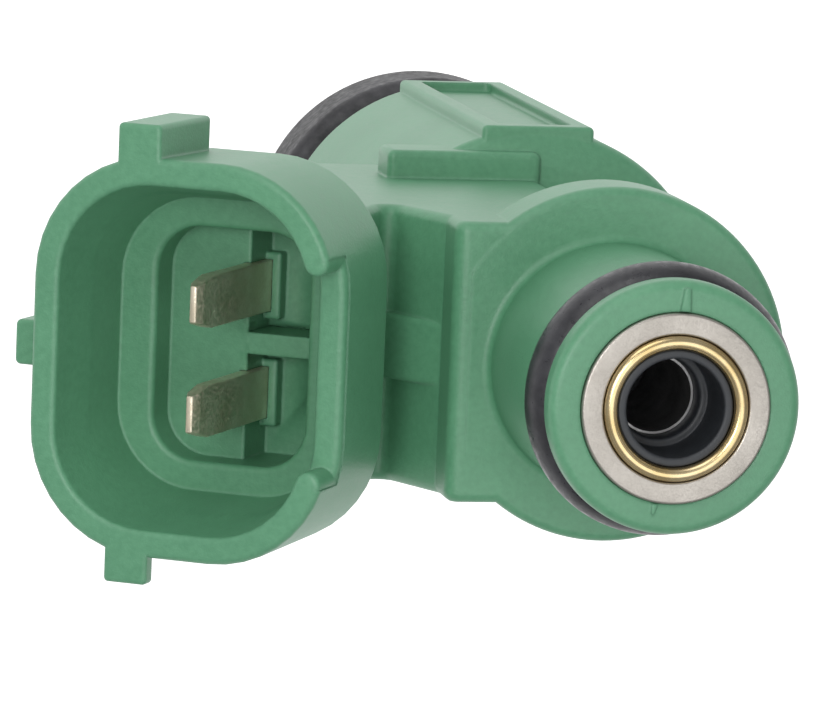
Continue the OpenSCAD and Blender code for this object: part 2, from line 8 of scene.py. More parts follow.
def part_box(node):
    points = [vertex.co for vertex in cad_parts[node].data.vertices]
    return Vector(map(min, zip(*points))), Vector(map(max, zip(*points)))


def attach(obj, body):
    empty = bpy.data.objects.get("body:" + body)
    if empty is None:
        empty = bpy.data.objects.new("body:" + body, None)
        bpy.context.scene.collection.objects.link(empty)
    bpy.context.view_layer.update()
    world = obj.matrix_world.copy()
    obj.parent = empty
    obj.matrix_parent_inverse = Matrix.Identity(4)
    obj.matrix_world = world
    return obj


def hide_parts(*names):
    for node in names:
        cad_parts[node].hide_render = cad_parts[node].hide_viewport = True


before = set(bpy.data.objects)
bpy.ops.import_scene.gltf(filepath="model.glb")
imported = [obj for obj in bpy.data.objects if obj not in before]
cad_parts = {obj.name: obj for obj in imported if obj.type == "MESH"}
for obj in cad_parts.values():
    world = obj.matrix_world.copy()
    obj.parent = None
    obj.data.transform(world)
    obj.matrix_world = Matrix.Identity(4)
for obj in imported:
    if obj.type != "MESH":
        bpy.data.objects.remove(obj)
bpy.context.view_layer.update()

# All sizes below are in millimetres; a finished piece is turned to metres when it is made an object
MM = 0.001
ROUND_STEPS = 144
CORNER_STEPS = 6
SHARP_ANGLE = math.radians(32)


def low(node):
    """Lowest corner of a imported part, in millimetres."""
    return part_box(node)[0] / MM


def high(node):
    """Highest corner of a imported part, in millimetres."""
    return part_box(node)[1] / MM


# ---------------------------------------------------------------- sizes

# Fit between a moulding and what it holds
FIT = 0.02

# Round parts up the axis
TUBE_R = 3.35
TUBE_HEAD_R = high("core_tube").x
TUBE_HEAD_T = 1.4
INLET_Z = high("core_tube").z
POLE_Z = low("core_tube").z
CORE_BORE_R = 1.9
COLLAR_R = high("filter_collar").x
COLLAR_WALL = 0.62
COLLAR_LOW = low("filter_collar").z
COLLAR_TOP = high("filter_collar").z
BASKET_R = high("filter_frame").x
BASKET_LOW = low("filter_frame").z
BASKET_TOP = high("filter_frame").z
FLANGE_R = high("inlet_flange").x
FLANGE_LOW = low("inlet_flange").z
FLANGE_TOP = high("inlet_flange").z
SEAL_R = high("inlet_o_ring").x
SEAL_LOW = low("inlet_o_ring").z
SEAL_TOP = high("inlet_o_ring").z
GROOVE_LOW = (SEAL_LOW + SEAL_TOP) / 2 - 1.4
NECK_R = 5.45
NECK_TOP_R = 5.25
SHOULDER_R = 7.85
SHOULDER_Z = 61.6
SHOULDER_T = 3.4
WAIST_R = 5.8
COIL_R = 8.5
COIL_LOW = low("resin_body").z
COIL_TOP = COIL_LOW + 21
HOUSING_R = high("magnet_housing").x
HOUSING_LOW = low("magnet_housing").z
HOUSING_TOP = high("magnet_housing").z
HOUSING_WALL = 0.9
HOUSING_END_T = 2.2
RING_R = high("insulator_ring").x
RING_LOW = low("insulator_ring").z
RING_TOP = high("insulator_ring").z
BODY_FLANGE_R = high("valve_body").x
BARREL_R = 4.6
CAP_R = 5.2
CAP_FLANGE_R = high("tip_cap").x
CAP_END_T = 2.6

# The arm, the block beside the axis and the terminal bridge
ARM_HALF = 6.2
BLOCK_REACH = 7.15
BLOCK_SIDE_Z = SHOULDER_Z - 2.5
BLOCK_FACE_Z = SHOULDER_Z - 0.04
SHOULDER_CUT_X = 6.4
GUSSET_HALF = 1.45
PAST = 1.0
ARM_LOW_Z = COIL_TOP - 5.2
BRIDGE_HALF = 7.5
BRIDGE_REACH = 7.2
BRIDGE_LOW = COIL_TOP - 2.0
BRIDGE_TOP = COIL_TOP + 0.8
PAD_W = 5.3
PAD_TOP = 8.65
PAD_FRAME = 0.9
PAD_RECESS = 0.45

# The connector, in its own frame: z out of the mouth, x away from the axis, the blades' tips at z = 0
CONNECTOR_TURN = math.radians(31.9)
CONNECTOR = Matrix.Translation((18.65, 0, INLET_Z - 12.35)) @ Matrix.Rotation(CONNECTOR_TURN, 4, "Y")
SOCKET_OUT = 7.13
SOCKET_IN = 6.87
SOCKET_HALF = 8.7
SOCKET_CORNER = 5.4
SOCKET_WALL = 1.2
SOCKET_BACK = -5.9
RIM_Z = 1.0
LEDGE_Z = -4.7
PLATFORM_Z = -6.4
POCKET_Z = -8.8
PLATFORM_EDGE = 0.0
WELL_OUT = 3.745
WELL_IN = 3.505
WELL_HALF = 5.2
WELL_CORNER = 2.0
WELL_WALL = 1.2
NOTCH_HALF = 5.0
NOTCH_Z = RIM_Z - 1.7
RIB_LEFT = 1.35
RIB_W = 2.0
RIB_ROOT = 0.6
TAB_PROUD = 1.45
BLADE_W = 2.3
BLADE_T = 0.64
BLADE_PITCH_HALF = 2.4
LEG_X = low("terminal_upper").x + BLADE_T / 2


# ---------------------------------------------------------------- mesh work

def rounded(corners, steps=CORNER_STEPS):
    """Closed outline of (x, y) or (x, y, radius) corners, with arcs in place of the corners."""
    outline = []
    for i, corner in enumerate(corners):
        here = Vector(corner[:2])
        radius = corner[2] if len(corner) > 2 else 0
        if not radius:
            outline.append(here)
            continue
        before = (Vector(corners[i - 1][:2]) - here).normalized()
        after = (Vector(corners[(i + 1) % len(corners)][:2]) - here).normalized()
        half = before.angle(after) / 2
        centre = here + (before + after).normalized() * radius / math.sin(half)
        first = here + before * radius / math.tan(half) - centre
        last = here + after * radius / math.tan(half) - centre
        start = math.atan2(first.y, first.x)
        sweep = (math.atan2(last.y, last.x) - start + math.pi) % math.tau - math.pi
        for step in range(steps + 1):
            turn = start + sweep * step / steps
            outline.append(centre + radius * Vector((math.cos(turn), math.sin(turn))))
    return outline


def rounded_rect(left, right, half, corner, steps=CORNER_STEPS):
    return rounded([(left, -half, corner), (left, half, corner), (-right, half, corner),
                    (-right, -half, corner)],
                   steps)


def facing_out(mesh):
    bmesh.ops.remove_doubles(mesh, verts=mesh.verts, dist=1e-5)
    bmesh.ops.dissolve_degenerate(mesh, edges=mesh.edges, dist=1e-5)
    bmesh.ops.recalc_face_normals(mesh, faces=mesh.faces)
    return mesh


def turned(outline, steps=ROUND_STEPS):
    """Solid turned about the axis from an outline of radius and height."""
    mesh = bmesh.new()
    points = [mesh.verts.new((r, 0, z)) for r, z in outline]
    edges = [mesh.edges.new((points[i - 1], points[i])) for i in range(len(points))]
    bmesh.ops.spin(mesh, geom=points + edges, cent=(0, 0, 0), axis=(0, 0, 1), angle=math.tau, steps=steps,
                   use_merge=True)
    return facing_out(mesh)


def slab(outline, bottom, top, edge=0.0, place=Matrix.Identity(4)):
    """Flat outline given a thickness, its long edges rounded, then put in place."""
    mesh = bmesh.new()
    face = mesh.faces.new([mesh.verts.new((x, y, bottom)) for x, y in outline])
    grown = bmesh.ops.extrude_face_region(mesh, geom=[face])
    bmesh.ops.translate(mesh, verts=[v for v in grown["geom"] if isinstance(v, bmesh.types.BMVert)],
                        vec=(0, 0, top - bottom))
    facing_out(mesh)
    if edge:
        rims = [e for e in mesh.edges if e.calc_face_angle(0) > SHARP_ANGLE]
        bmesh.ops.bevel(mesh, geom=rims, offset=edge, affect="EDGES", segments=4, profile=0.5, material=-1,
                        clamp_overlap=True)
        facing_out(mesh)
    bmesh.ops.transform(mesh, matrix=place, verts=mesh.verts)
    return mesh


def lofted(sections, place=Matrix.Identity(4), ring=False):
    """Closed solid through flat outlines of equal count, each with its height; a ring joins last to first."""
    mesh = bmesh.new()
    rings = []
    for height, outline in sections:
        points = [mesh.verts.new((x, y, height)) for x, y in outline]
        rings.append((points, [mesh.edges.new((points[i - 1], points[i])) for i in range(len(points))]))
    for (_, lower), (_, upper) in zip(rings, rings[1:]):
        bmesh.ops.bridge_loops(mesh, edges=lower + upper)
    if ring:
        bmesh.ops.bridge_loops(mesh, edges=rings[-1][1] + rings[0][1])
    else:
        for points, _ in (rings[0], rings[-1]):
            mesh.faces.new(points)
    facing_out(mesh)
    bmesh.ops.transform(mesh, matrix=place, verts=mesh.verts)
    return mesh


def as_object(mesh, name):
    """The finished mesh as an object at the origin, in metres."""
    bmesh.ops.scale(mesh, verts=mesh.verts, vec=(MM, MM, MM))
    data = bpy.data.meshes.new(name)
    mesh.to_mesh(data)
    mesh.free()
    piece = bpy.data.objects.new(name, data)
    bpy.context.scene.collection.objects.link(piece)
    return piece


def work(body, operation, mesh):
    """Joins a solid to the body, or cuts it out of the body."""
    tool = as_object(mesh, "tool")
    step = body.modifiers.new("step", "BOOLEAN")
    step.operation = operation
    step.solver = "EXACT"
    step.object = tool
    shaped = bpy.data.meshes.new_from_object(body.evaluated_get(bpy.context.evaluated_depsgraph_get()))
    body.modifiers.clear()
    body.data = shaped
    bpy.data.objects.remove(tool)


def settle(piece, finish, body, replaced):
    """Shades a piece, gives it its finish and puts it in the frame."""
    piece.data.shade_smooth()
    piece.data.set_sharp_from_angle(angle=SHARP_ANGLE)
    even = piece.modifiers.new("even", "WEIGHTED_NORMAL")
    even.keep_sharp = True
    piece.data.materials.clear()
    piece.data.materials.append(finish)
    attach(piece, body)
    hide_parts(*replaced)


# ---------------------------------------------------------------- the moulded body

def stem():
    """The neck, the shoulder, the waist and the coil section, in one turned shape."""
    band_top = COIL_TOP + 0.35
    return turned(rounded([
        (0, COIL_LOW),
        (COIL_R, COIL_LOW, 0.35),
        (COIL_R, COIL_TOP, 0.5),
        (COIL_R - 0.4 - 1.25, band_top, 0.3),
        (WAIST_R, band_top, 0.5),
        (WAIST_R, SHOULDER_Z - SHOULDER_T, 0.4),
        (SHOULDER_R, SHOULDER_Z - SHOULDER_T, 0.4),
        (SHOULDER_R, SHOULDER_Z, 0.4),
        (NECK_R, SHOULDER_Z, 0.35),
        (NECK_TOP_R, GROOVE_LOW, 0.15),
        (0, GROOVE_LOW),
    ]))


def from_connector(x, depth):
    """Place in x and z of a point of the connector's frame."""
    point = CONNECTOR @ Vector((x, 0, -depth))
    return point.x, point.z


# Turns an outline of x and z, and a thickness, to stand across y
ACROSS = Matrix.Rotation(math.pi / 2, 4, "X")


def arm():
    side_in = -WELL_IN - WELL_WALL
    side_out = WELL_OUT + WELL_WALL
    face_depth = 10.6
    face_x, face_z = from_connector(side_in, face_depth)
    root = -SOCKET_BACK - 0.6
    outer_x, outer_z = from_connector(side_out, 0)
    lower_x = outer_x - (outer_z - ARM_LOW_Z) * math.tan(CONNECTOR_TURN)
    outline = rounded([
        (0, ARM_LOW_Z),
        (0, BLOCK_FACE_Z),
        (BLOCK_REACH, BLOCK_FACE_Z, 0.65),
        (BLOCK_REACH, BLOCK_SIDE_Z, 0.5),
        (face_x, face_z, 0.5),
        from_connector(side_in, root),
        from_connector(side_out, root),
        (lower_x, ARM_LOW_Z, 0.6),
    ])
    return slab(outline, -ARM_HALF, ARM_HALF, 0.45, ACROSS)


def beside_block():
    """The stretch of the round shoulder that the block takes the place of."""
    outline = rounded_rect(SHOULDER_R + PAST, -SHOULDER_CUT_X, SHOULDER_R + PAST, 0)
    return slab(outline, SHOULDER_Z - SHOULDER_T - 0.3, SHOULDER_Z + PAST)


def gusset():
    side_in = -WELL_IN - WELL_WALL
    depth = 9.6
    top_x, top_z = from_connector(side_in, depth)
    outline = rounded([
        (BLOCK_REACH - 1.0, BLOCK_SIDE_Z),
        (BLOCK_REACH, BLOCK_SIDE_Z, 0.3),
        (top_x, top_z, 0.3),
        from_connector(side_in + 0.8, depth + 2.5),
        (BLOCK_REACH - 1.0, SHOULDER_Z - 2 * SHOULDER_T),
    ])
    return slab(outline, -GUSSET_HALF, GUSSET_HALF, 0.25, ACROSS)


def bridge():
    outline = rounded_rect(BRIDGE_REACH, 0, BRIDGE_HALF, 0.35)
    return slab(outline, BRIDGE_LOW, BRIDGE_TOP, 0.3)


def label_pad():
    outline = rounded([(-PAD_W / 2, 0), (PAD_W / 2, 0), (PAD_W / 2, PAD_TOP, 0.25),
                       (-PAD_W / 2, PAD_TOP, 0.25)])
    turn = Matrix.Rotation(math.pi, 4, "Z")
    return slab(outline, COIL_LOW, COIL_TOP, 0.2, turn)


def label_recess():
    half = PAD_W / 2 - PAD_FRAME
    middle = (COIL_LOW + COIL_TOP) / 2
    reach = (COIL_TOP - COIL_LOW) / 2 - PAD_FRAME
    outline = rounded_rect(half, half, reach, 0.3)
    place = Matrix.Translation((0, -PAD_TOP, middle)) @ Matrix.Rotation(math.pi / 2, 4, "X")
    return slab(outline, -PAD_RECESS, 1, 0.12, place)


def socket_outline(inset, corner=SOCKET_CORNER, long_inset=None):
    """Outline of the socket, drawn in on its short sides and on its long sides."""
    long_inset = inset if long_inset is None else long_inset
    return rounded_rect(SOCKET_OUT - inset, SOCKET_IN - inset, SOCKET_HALF - long_inset, corner - inset, 10)


def socket_shell():
    edge = 0.28
    back_edge = 0.25
    sections = [(SOCKET_BACK, socket_outline(0.1 + back_edge)),
                (SOCKET_BACK + back_edge, socket_outline(0.1))]
    for step in range(CORNER_STEPS + 1):
        turn = math.pi / 2 * step / CORNER_STEPS
        sections.append((RIM_Z - edge + edge * math.sin(turn), socket_outline(edge - edge * math.cos(turn))))
    return lofted(sections, CONNECTOR)


def socket_space():
    """The space inside the socket: a rounded lip, a flared mouth and a steeper wall down to the ledge."""
    lip = 0.22
    flare_z = -1.7
    sections = [(RIM_Z + 1, socket_outline(SOCKET_WALL - lip))]
    for step in range(CORNER_STEPS + 1):
        turn = math.pi / 2 * step / CORNER_STEPS
        inset = SOCKET_WALL - lip + lip * math.sin(turn)
        sections.append((RIM_Z - lip + lip * math.cos(turn), socket_outline(inset)))
    sections.append((flare_z, socket_outline(SOCKET_WALL + 0.3, long_inset=SOCKET_WALL + 0.45)))
    sections.append((flare_z - 0.35, socket_outline(SOCKET_WALL + 0.42, long_inset=SOCKET_WALL + 0.6)))
    sections.append((LEDGE_Z, socket_outline(SOCKET_WALL + 0.5, long_inset=SOCKET_WALL + 1.0)))
    return lofted(sections, CONNECTOR)


def well():
    """The well below the ledge, with its upper edge rounded, as deep as the pockets."""
    edge = 0.25
    sections = [(POCKET_Z, rounded_rect(WELL_OUT, WELL_IN, WELL_HALF, WELL_CORNER, 10))]
    for step in range(CORNER_STEPS + 1):
        turn = math.pi / 2 * step / CORNER_STEPS
        grow = edge - edge * math.cos(turn)
        sections.append((LEDGE_Z - edge + edge * math.sin(turn),
                         rounded_rect(WELL_OUT + grow, WELL_IN + grow, WELL_HALF + grow, WELL_CORNER + grow,
                                      10)))
    sections.append((LEDGE_Z + 0.5, sections[-1][1]))
    return lofted(sections, CONNECTOR)


def platform():
    """The raised floor of the well on its outer side."""
    outline = rounded([(WELL_OUT + 0.4, -WELL_HALF - 0.4), (WELL_OUT + 0.4, WELL_HALF + 0.4),
                       (PLATFORM_EDGE, WELL_HALF + 0.4), (PLATFORM_EDGE, -WELL_HALF - 0.4)])
    return slab(outline, POCKET_Z - 0.5, PLATFORM_Z, 0.08, CONNECTOR)


def pocket_rib():
    """The rib that parts the two pockets."""
    outline = rounded_rect(PLATFORM_EDGE + 0.4, WELL_IN + 0.4, 0.48, 0.05)
    return slab(outline, POCKET_Z - 0.5, PLATFORM_Z, 0.1, CONNECTOR)


def blade_boss(side):
    """The low boss at a blade's root."""
    outline = [p + Vector((-0.12, side * BLADE_PITCH_HALF)) for p in rounded_rect(0.5, 0.62, 1.5, 0.12)]
    return slab(outline, POCKET_Z - 0.5, POCKET_Z + 0.7, 0.12, CONNECTOR)


def rim_corner(angle, reach):
    """Point at an angle and a distance from the centre of the rim's corner next to the axis."""
    centre = Vector((SOCKET_CORNER - SOCKET_IN, SOCKET_HALF - SOCKET_CORNER))
    return centre + reach * Vector((-math.cos(angle), math.sin(angle)))


def notch_end():
    """Angle at which the lowered stretch of the rim ends, round the centre of the rim's corner."""
    return math.asin((NOTCH_HALF + SOCKET_CORNER - SOCKET_HALF) / SOCKET_CORNER)


def rim_notch():
    """The lowered stretch of the rim, with ends square to the wall."""
    inner = rim_corner(notch_end(), SOCKET_CORNER - 2.2)
    outer = rim_corner(notch_end(), SOCKET_CORNER + 1.5)
    outline = [outer, inner, Vector((inner.x, -inner.y)), Vector((outer.x, -outer.y))]
    return slab(outline, NOTCH_Z - 0.4, RIM_Z + 2, 0, CONNECTOR)


def lowered_rim():
    """The rim of the lowered stretch: a ring that lies inside the socket's wall, rounded on both edges."""
    edge = 0.3
    outer = 0.09
    inner = SOCKET_WALL + 0.17
    sections = [(NOTCH_Z - 1.1, socket_outline(outer))]
    for step in range(CORNER_STEPS + 1):
        turn = math.pi / 2 * step / CORNER_STEPS
        inset = outer + edge - edge * math.cos(turn)
        sections.append((NOTCH_Z - edge + edge * math.sin(turn), socket_outline(inset)))
    for step in range(CORNER_STEPS + 1):
        turn = math.pi / 2 * step / CORNER_STEPS
        inset = inner - edge + edge * math.sin(turn)
        sections.append((NOTCH_Z - edge + edge * math.cos(turn), socket_outline(inset)))
    sections.append((NOTCH_Z - 1.1, socket_outline(inner)))
    return lofted(sections, CONNECTOR, ring=True)


def horn_end(side):
    """The rounded end of the rim beside the lowered stretch."""
    radius = SOCKET_WALL / 2 - 0.03
    place = rim_corner(notch_end(), SOCKET_CORNER - SOCKET_WALL / 2 - 0.03)
    turns = [math.tau * step / 32 for step in range(32)]
    outline = [place + radius * Vector((math.cos(turn), math.sin(turn))) for turn in turns]
    if side < 0:
        outline = [Vector((p.x, -p.y)) for p in outline]
    return slab(outline, NOTCH_Z - 0.5, RIM_Z - 0.012, 0.2, CONNECTOR)


def rib(side, proud, length):
    reach = SOCKET_HALF + proud
    root = SOCKET_HALF - RIB_ROOT
    far = RIB_LEFT + RIB_W
    corners = [(RIB_LEFT, root), (far, root), (far, reach, 0.2), (RIB_LEFT, reach, 0.2)]
    outline = [Vector((p.x, side * p.y)) for p in rounded(corners)]
    return slab(outline, RIM_Z - length, RIM_Z, 0.15, CONNECTOR)


def outer_tab():
    half = RIB_W / 2
    root = SOCKET_OUT - RIB_ROOT
    reach = SOCKET_OUT + TAB_PROUD
    outline = rounded([(root, -half), (reach, -half, 0.25), (reach, half, 0.25), (root, half)])
    return slab(outline, -4.5, -0.5, 0.15, CONNECTOR)


def blade_path(grow=0.0):
    """The blade along the connector, the level run and the leg, as corners in x and z."""
    run_z = COIL_TOP - 0.7
    depth = (CONNECTOR.translation.z - run_z) / math.cos(CONNECTOR_TURN)
    return [from_connector(0, -grow), from_connector(0, depth), (LEG_X, run_z),
            (LEG_X, HOUSING_TOP - 2.55 - grow)]


def ribbon(path, width):
    """Outline of a bent strip of even width."""
    points = [Vector(p) for p in path]
    sides = ([], [])
    for i, point in enumerate(points):
        back = (point - points[i - 1]).normalized() if i else (points[1] - point).normalized()
        ahead = (points[i + 1] - point).normalized() if i + 1 < len(points) else back
        across = (back.orthogonal() + ahead.orthogonal()).normalized()
        reach = width / 2 / across.dot(back.orthogonal())
        sides[0].append(point + across * reach)
        sides[1].append(point - across * reach)
    return sides[0] + sides[1][::-1]


def blade(side, grow=0.0):
    """A terminal: the strip, tapered at its tip, with its edges broken."""
    half = BLADE_W / 2 + grow
    mesh = slab(ribbon(blade_path(grow), BLADE_T + 2 * grow), -half, half, 0, ACROSS)
    taper_len = 1.5
    taper = 0.35
    slope = math.atan2(taper, taper_len)
    bevel_len = 0.5
    bevel_slope = math.radians(20)
    planes = [((0, face * BLADE_W / 2, -taper_len), (0, face * math.cos(slope), math.sin(slope)))
              for face in (-1, 1)]
    planes += [((face * BLADE_T / 2, 0, -bevel_len), (face * math.cos(bevel_slope), 0, math.sin(bevel_slope)))
               for face in (-1, 1)]
    for point, outward in [] if grow else planes:
        flat = CONNECTOR @ Vector(point)
        away = CONNECTOR.to_3x3() @ Vector(outward)
        cut = bmesh.ops.bisect_plane(mesh, geom=mesh.verts[:] + mesh.edges[:] + mesh.faces[:], dist=1e-6,
                                     plane_co=flat, plane_no=away, clear_outer=True)
        bmesh.ops.holes_fill(mesh, edges=[e for e in cut["geom_cut"] if isinstance(e, bmesh.types.BMEdge)])
    facing_out(mesh)
    if not grow:
        rims = [e for e in mesh.edges if e.calc_face_angle(0) > math.radians(8)]
        bmesh.ops.bevel(mesh, geom=rims, offset=0.07, affect="EDGES", segments=3, profile=0.5, material=-1,
                        clamp_overlap=True)
        facing_out(mesh)
    bmesh.ops.translate(mesh, verts=mesh.verts, vec=(0, side * BLADE_PITCH_HALF, 0))
    return mesh


def bores():
    """The tube's bore and the room of the steel housing."""
    return turned([(0, COIL_LOW - 1), (HOUSING_R + FIT, COIL_LOW - 1), (HOUSING_R + FIT, HOUSING_TOP + FIT),
                   (TUBE_R + FIT, HOUSING_TOP + FIT), (TUBE_R + FIT, GROOVE_LOW + 1), (0, GROOVE_LOW + 1)])


def tower_slot():
    """The room that the bobbin's tower takes below the terminals."""
    far = 6.3 + FIT
    near = LEG_X - 0.7 - FIT
    half = BLADE_PITCH_HALF + BLADE_W / 2 + 0.4 + FIT
    outline = rounded_rect(far, -near, half, 0.1)
    return slab(outline, HOUSING_TOP - 1, HOUSING_TOP + 0.75)


def make_moulded_body():
    body = as_object(stem(), "moulded_body")
    work(body, "DIFFERENCE", beside_block())
    for part in (arm(), gusset(), bridge(), label_pad(), socket_shell(), rib(-1, TAB_PROUD, 5.5),
                 rib(1, 1.2, 0.8),
                 outer_tab()):
        work(body, "UNION", part)
    for part in (socket_space(), well(), rim_notch()):
        work(body, "DIFFERENCE", part)
    for part in (platform(), pocket_rib(), blade_boss(-1), blade_boss(1), lowered_rim(), horn_end(-1),
                 horn_end(1)):
        work(body, "UNION", part)
    for part in (label_recess(), bores(), tower_slot(), blade(-1, FIT), blade(1, FIT)):
        work(body, "DIFFERENCE", part)
    return body


# ---------------------------------------------------------------- rail end

def make_rail_flange():
    """The flange that keeps the rail seal on, with the flash that the mould left on it."""
    bore = TUBE_R + FIT
    counterbore = TUBE_HEAD_R + FIT
    seat = INLET_Z - TUBE_HEAD_T - FIT
    piece = as_object(turned(rounded([(bore, FLANGE_LOW), (FLANGE_R, FLANGE_LOW, 0.4),
                                      (FLANGE_R, FLANGE_TOP, 0.45),
                                      (counterbore, FLANGE_TOP, 0.05), (counterbore, seat), (bore,
                                                                                             seat)], 8)),
                      "rail_flange")
    ridge = slab(rounded([(-0.22, counterbore + 0.05), (0.22, counterbore + 0.05),
                          (0.12, FLANGE_R - 0.3, 0.03),
                          (-0.12, FLANGE_R - 0.3, 0.03)]),
                 FLANGE_TOP - 0.6, FLANGE_TOP + 0.18, 0.08, Matrix.Rotation(math.radians(177), 4, "Z"))
    nub = slab(rounded([(-0.13, counterbore + 0.04), (0.13, counterbore + 0.04),
                        (0.05, counterbore + 0.5, 0.03),
                        (-0.05, counterbore + 0.5, 0.03)]),
               FLANGE_TOP - 0.6, FLANGE_TOP + 0.1, 0.04, Matrix.Rotation(math.radians(-10), 4, "Z"))
    for flash in (ridge, nub):
        work(piece, "UNION", flash)
    return piece


def make_rail_seal():
    section = (SEAL_TOP - SEAL_LOW) / 2
    centre = Vector((SEAL_R - section, (SEAL_TOP + SEAL_LOW) / 2))
    turns = [math.tau * step / 40 for step in range(40)]
    ring = [centre + section * Vector((math.cos(turn), math.sin(turn))) for turn in turns]
    return as_object(turned(ring), "rail_seal")


def make_inlet_tube():
    basket_room = BASKET_R + 0.08
    room_low = BASKET_LOW - 2
    return as_object(turned(rounded([
        (CORE_BORE_R, POLE_Z, 0.1), (TUBE_R, POLE_Z, 0.15), (TUBE_R, INLET_Z - TUBE_HEAD_T, 0.1),
        (TUBE_HEAD_R, INLET_Z - TUBE_HEAD_T, 0.15), (TUBE_HEAD_R, INLET_Z, 0.12), (COLLAR_R + FIT, INLET_Z,
                                                                                   0.1),
        (COLLAR_R + FIT, COLLAR_LOW), (basket_room, COLLAR_LOW), (basket_room, room_low), (CORE_BORE_R,
                                                                                           room_low - 0.6),
    ])), "inlet_tube")


def make_filter_collar():
    lip = COLLAR_WALL / 2
    inner = COLLAR_R - COLLAR_WALL
    return as_object(turned(rounded([
        (inner, COLLAR_LOW, 0.05), (COLLAR_R, COLLAR_LOW, 0.1), (COLLAR_R, COLLAR_TOP, lip * 0.98),
        (inner, COLLAR_TOP, lip * 0.98)], 10)), "brass_collar")


def make_filter_basket():
    """The filter's frame: a stepped mouth, three ribs, two hoops and a closed foot."""
    mouth_low = INLET_Z - 4.9
    foot = BASKET_LOW
    hoop = 1.75
    piece = as_object(turned(rounded([
        (hoop, mouth_low), (BASKET_R, mouth_low, 0.1), (BASKET_R, BASKET_TOP, 0.08), (2.1, BASKET_TOP, 0.12),
        (2.1, BASKET_TOP - 3.0, 0.05), (hoop, BASKET_TOP - 3.0, 0.15)])), "filter_basket")
    work(piece, "UNION", turned(rounded([(0, foot), (BASKET_R - 0.3, foot, 0.3), (BASKET_R, foot + 1, 0.1),
                                         (BASKET_R, foot + 1.8, 0.1), (hoop, foot + 1.8, 0.05), (hoop,
                                                                                                 foot + 1),
                                         (0, foot + 1)])))
    for turn in range(3):
        rail = slab(rounded_rect(BASKET_R - 0.08, -hoop, 0.35, 0.1), foot + 0.6, mouth_low + 0.2, 0,
                    Matrix.Rotation(math.tau * turn / 3, 4, "Z"))
        work(piece, "UNION", rail)
    return piece


# ---------------------------------------------------------------- nozzle end and coil

def make_insulator():
    bore = BARREL_R + FIT
    return as_object(turned(rounded([
        (bore, RING_LOW, 0.2), (RING_R, RING_LOW, 0.7), (RING_R, RING_TOP, 0.7), (7.3, RING_TOP, 0.1),
        (7.2, RING_TOP - 0.25, 0.1), (7.0, RING_TOP - 0.25, 0.1), (6.9, RING_TOP, 0.1), (bore, RING_TOP,
                                                                                         0.2)])),
        "insulator")


def make_nozzle_cap():
    bore = BARREL_R + FIT
    bead = 7.6
    return as_object(turned(rounded([
        (2.8, 0, 0.2), (CAP_R, 0, 0.5), (CAP_R, RING_LOW - 1.6, 0.3), (CAP_FLANGE_R, RING_LOW - 1.6, 0.25),
        (CAP_FLANGE_R, RING_LOW, 0.2), (bore, RING_LOW), (bore, bead + 0.8), (bore - 0.22, bead + 0.6, 0.05),
        (bore - 0.22, bead + 0.2, 0.05), (bore, bead), (bore, CAP_END_T), (1.8, CAP_END_T)])), "nozzle_cap")


def make_nozzle_body():
    """The valve body: the barrel with the cap's groove, the flange and the guide of the armature."""
    floor = HOUSING_LOW + HOUSING_END_T
    guide_top = high("valve_body").z
    stop = low("needle_stop").z
    seat_r = high("nozzle_seat").x + FIT
    seat_top = high("nozzle_seat").z
    return as_object(turned(rounded([
        (seat_r, CAP_END_T, 0.1), (BARREL_R, CAP_END_T, 0.2), (BARREL_R, 7.58), (BARREL_R - 0.27, 7.58),
        (BARREL_R - 0.27, 8.42), (BARREL_R, 8.42), (BARREL_R, RING_TOP, 0.2), (BODY_FLANGE_R, RING_TOP, 0.2),
        (BODY_FLANGE_R, HOUSING_LOW, 0.2), (BARREL_R, HOUSING_LOW, 0.1), (BARREL_R, floor, 0.1),
        (TUBE_R, floor, 0.3), (TUBE_R, guide_top, 0.15), (2.75, guide_top, 0.1), (2.75, stop), (2.2, stop),
        (2.2, seat_top), (seat_r, seat_top)])), "nozzle_body")


def make_coil_housing():
    bore = BARREL_R + FIT
    inner = HOUSING_R - HOUSING_WALL
    floor = HOUSING_LOW + HOUSING_END_T
    return as_object(turned(rounded([
        (bore, HOUSING_LOW, 0.15), (HOUSING_R, HOUSING_LOW, 0.6), (HOUSING_R, HOUSING_TOP, 0.1),
        (inner, HOUSING_TOP, 0.1), (inner, floor, 0.3), (bore, floor)])), "coil_housing")


def make_wound_coil():
    """The winding: its outer layer is drawn wire by wire."""
    inner = 4.7
    bottom = low("coil_winding").z
    top = high("coil_winding").z
    outer = high("coil_winding").x
    wire_r = 0.14
    wires = int((top - bottom) / (2 * wire_r))
    outline = [Vector((inner, top)), Vector((inner, bottom))]
    for wire in range(wires):
        middle = bottom + (top - bottom) * (wire + 0.5) / wires
        for step in range(5):
            turn = math.pi * (step / 4 - 0.5)
            outline.append(Vector((outer - wire_r + wire_r * math.cos(turn),
                                   middle + wire_r * math.sin(turn))))
    return as_object(turned(outline, 96), "wound_coil")


# ---------------------------------------------------------------- finishes

def linear(code):
    """Linear colour of an sRGB hex value."""
    parts = [int(code[i:i + 2], 16) / 255 for i in (1, 3, 5)]
    return tuple(c / 12.92 if c <= 0.04045 else ((c + 0.055) / 1.055) ** 2.4 for c in parts) + (1.0,)


def add(tree, kind, inputs=None, **settings):
    """Adds a node with its settings; an input is a value or the socket that feeds it."""
    node = tree.nodes.new(kind)
    for name, value in settings.items():
        setattr(node, name, value)
    for key, value in (inputs or {}).items():
        if isinstance(value, bpy.types.NodeSocket):
            tree.links.new(value, node.inputs[key])
        else:
            node.inputs[key].default_value = value
    return node


def per_mm(size):
    """Scale of a pattern whose features are that many millimetres wide."""
    return 1 / (size * MM)


